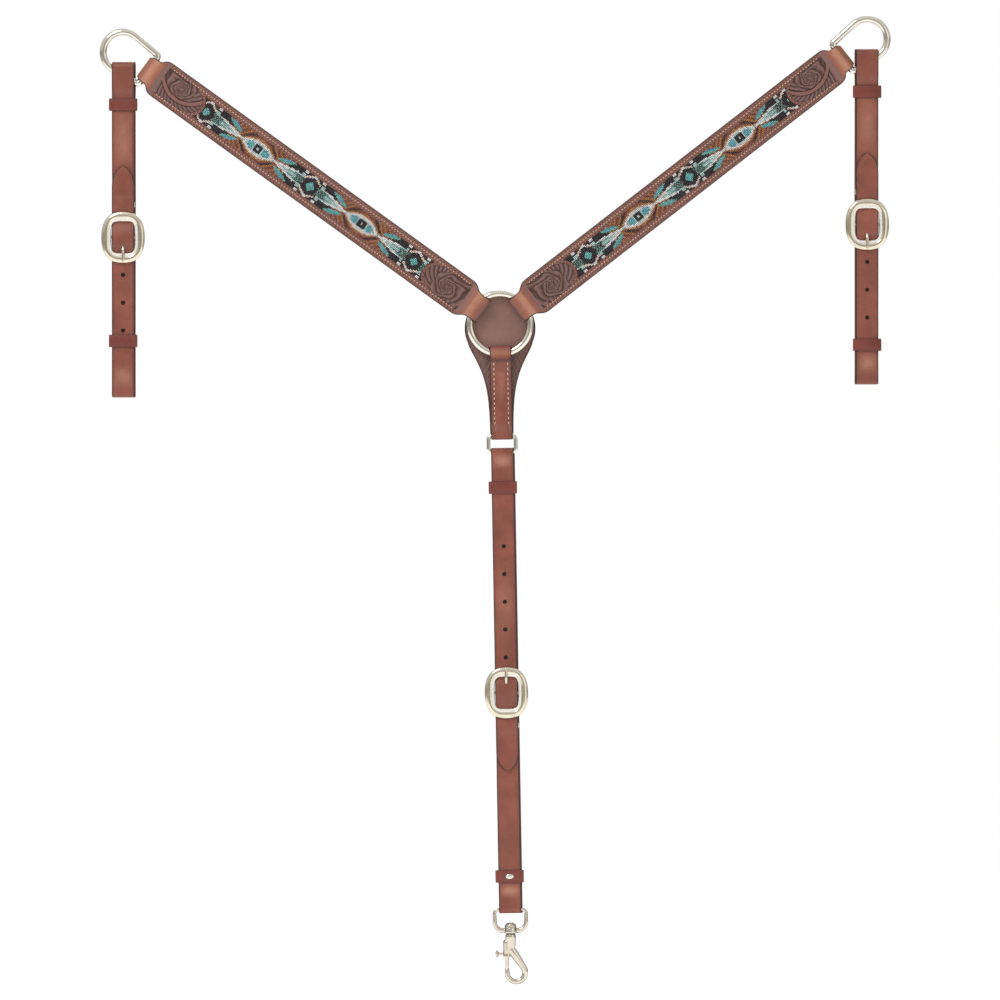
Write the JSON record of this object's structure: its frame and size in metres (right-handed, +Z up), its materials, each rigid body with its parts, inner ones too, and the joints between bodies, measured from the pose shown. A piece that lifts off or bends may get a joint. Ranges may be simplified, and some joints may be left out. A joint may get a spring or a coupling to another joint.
{
  "type": "western breastplate",
  "caption": "Western breast collar: tooled and beaded arms on a chest ring, buckled tug straps on shoulder rings, and a centre strap ending in a swivel bolt snap.",
  "frame": {"origin": "centre of the chest ring", "axes": "+Z up the horse, +Y from the front face towards the horse, +X to the right as seen from the front"},
  "size_m": [0.8938, 0.0207, 1.095],
  "materials": {
    "tooled_leather": "carved, stamped and antiqued",
    "strap_leather": "smooth chestnut, burnished edges",
    "edge_leather": "burnished edge",
    "lining_leather": "matte flesh side",
    "bead_inlay": "rows of small glossy seed beads",
    "stitch_thread": "waxed thread",
    "nickel_hardware": "polished warm nickel",
    "steel_ring": "polished welded wire",
    "spring_steel": "drawn wire"
  },
  "bodies": {
    "chest_ring": {"chest_ring": "steel_ring"},
    "arm_left": {"arm_front_left": "tooled_leather", "arm_inlay_left": "bead_inlay", "arm_filler_left": "edge_leather", "arm_lining_left": "lining_leather", "arm_thread_left": "stitch_thread"},
    "shoulder_ring_left": {"shoulder_ring_left": "nickel_hardware"},
    "tug_left": {"tug_strap_left": "strap_leather", "tug_buckle_left": "nickel_hardware", "tug_screw_post_left": "nickel_hardware", "tug_screw_cap_left": "nickel_hardware"},
    "tug_tongue_left": {"tug_tongue_left": "nickel_hardware"},
    "tug_keeper_upper_left": {"tug_keeper_upper_left": "strap_leather"},
    "tug_keeper_lower_left": {"tug_keeper_lower_left": "strap_leather"},
    "arm_right": {"arm_front_right": "tooled_leather", "arm_inlay_right": "bead_inlay", "arm_filler_right": "edge_leather", "arm_lining_right": "lining_leather", "arm_thread_right": "stitch_thread"},
    "shoulder_ring_right": {"shoulder_ring_right": "nickel_hardware"},
    "tug_right": {"tug_strap_right": "strap_leather", "tug_buckle_right": "nickel_hardware", "tug_screw_post_right": "nickel_hardware", "tug_screw_cap_right": "nickel_hardware"},
    "tug_tongue_right": {"tug_tongue_right": "nickel_hardware"},
    "tug_keeper_upper_right": {"tug_keeper_upper_right": "strap_leather"},
    "tug_keeper_lower_right": {"tug_keeper_lower_right": "strap_leather"},
    "ring_drop": {"chest_pad": "tooled_leather", "ring_strap": "strap_leather", "ring_strap_thread": "stitch_thread"},
    "square_loop": {"square_loop": "steel_ring"},
    "centre_strap": {"centre_strap": "strap_leather", "centre_buckle": "nickel_hardware", "centre_screw_post": "nickel_hardware", "centre_screw_cap": "nickel_hardware", "centre_keeper_lower": "strap_leather", "keeper_stud": "nickel_hardware"},
    "centre_tongue": {"centre_tongue": "nickel_hardware"},
    "centre_keeper_upper": {"centre_keeper_upper": "strap_leather"},
    "snap_eye": {"snap_eye": "nickel_hardware"},
    "snap_body": {"snap_body": "nickel_hardware", "snap_spring": "spring_steel"},
    "snap_bolt": {"snap_bolt": "nickel_hardware", "snap_thumb_pin": "nickel_hardware"}
  },
  "joints": [
    {"name": "arm_left_swing", "type": "hinge", "parent": "chest_ring", "child": "arm_left", "pos_m": [0, 0, 0], "axis": [0, 1, 0], "range_deg": [-30, 15], "stiffness_Nm_per_rad": 3, "springref_deg": 19.08},
    {"name": "shoulder_ring_left_tilt", "type": "hinge", "parent": "arm_left", "child": "shoulder_ring_left", "pos_m": [-0.39742, 0, 0.28663], "axis": [0.585, 0, 0.8111], "range_deg": [-45, 45]},
    {"name": "tug_left_swing", "type": "hinge", "parent": "shoulder_ring_left", "child": "tug_left", "pos_m": [-0.42581, 0, 0.3071], "axis": [0, 1, 0], "range_deg": [-2, 75]},
    {"name": "tug_tongue_left_lift", "type": "hinge", "parent": "tug_left", "child": "tug_tongue_left", "pos_m": [-0.42581, -0.0025, 0.0976], "axis": [-1, 0, 0], "range_deg": [0, 10]},
    {"name": "tug_keeper_upper_left_slide", "type": "slide", "parent": "tug_left", "child": "tug_keeper_upper_left", "axis": [0, 0, 1], "range_m": [-0.025, 0.001]},
    {"name": "tug_keeper_lower_left_slide", "type": "slide", "parent": "tug_left", "child": "tug_keeper_lower_left", "axis": [0, 0, 1], "range_m": [-0.035, 0.02]},
    {"name": "arm_right_swing", "type": "hinge", "parent": "chest_ring", "child": "arm_right", "pos_m": [0, 0, 0], "axis": [0, 1, 0], "range_deg": [-15, 30], "stiffness_Nm_per_rad": 3, "springref_deg": -18.59},
    {"name": "shoulder_ring_right_tilt", "type": "hinge", "parent": "arm_right", "child": "shoulder_ring_right", "pos_m": [0.38718, 0, 0.30032], "axis": [-0.6129, 0, 0.7902], "range_deg": [-45, 45]},
    {"name": "tug_right_swing", "type": "hinge", "parent": "shoulder_ring_right", "child": "tug_right", "pos_m": [0.41483, 0, 0.32178], "axis": [0, 1, 0], "range_deg": [-75, 2]},
    {"name": "tug_tongue_right_lift", "type": "hinge", "parent": "tug_right", "child": "tug_tongue_right", "pos_m": [0.41483, -0.0025, 0.11228], "axis": [-1, 0, 0], "range_deg": [0, 10]},
    {"name": "tug_keeper_upper_right_slide", "type": "slide", "parent": "tug_right", "child": "tug_keeper_upper_right", "axis": [0, 0, 1], "range_m": [-0.025, 0.001]},
    {"name": "tug_keeper_lower_right_slide", "type": "slide", "parent": "tug_right", "child": "tug_keeper_lower_right", "axis": [0, 0, 1], "range_m": [-0.018, 0.04]},
    {"name": "ring_drop_swing", "type": "hinge", "parent": "chest_ring", "child": "ring_drop", "pos_m": [0, 0, 0], "axis": [0, 1, 0], "range_deg": [-20, 20]},
    {"name": "square_loop_tilt", "type": "hinge", "parent": "ring_drop", "child": "square_loop", "pos_m": [0.00221, 0.0018, -0.12643], "axis": [0.9998, 0, 0.0175], "range_deg": [-60, 60]},
    {"name": "centre_strap_tilt", "type": "hinge", "parent": "square_loop", "child": "centre_strap", "pos_m": [0.00253, 0.0018, -0.14473], "axis": [0.9998, 0, 0.0175], "range_deg": [-60, 60]},
    {"name": "centre_tongue_lift", "type": "hinge", "parent": "centre_strap", "child": "centre_tongue", "pos_m": [0.00728, -0.0007, -0.41694], "axis": [0.9998, 0, 0.0175], "range_deg": [0, 10]},
    {"name": "centre_keeper_upper_slide", "type": "slide", "parent": "centre_strap", "child": "centre_keeper_upper", "axis": [0.0175, 0, -0.9998], "range_m": [-0.018, 0.05]},
    {"name": "snap_eye_tilt", "type": "hinge", "parent": "centre_strap", "child": "snap_eye", "pos_m": [0.01155, 0.0018, -0.6619], "axis": [0.9998, 0, 0.0175], "range_deg": [-60, 60]},
    {"name": "snap_swivel", "type": "hinge", "parent": "snap_eye", "child": "snap_body", "pos_m": [0.01155, 0.0018, -0.6619], "axis": [-0.0175, 0, 0.9998], "continuous": true},
    {"name": "snap_bolt_slide", "type": "slide", "parent": "snap_body", "child": "snap_bolt", "axis": [-0.0175, 0, 0.9998], "range_m": [0, 0.007], "stiffness_N_per_m": 300, "springref_m": -0.005, "deforming": ["snap_spring"]}
  ]
}
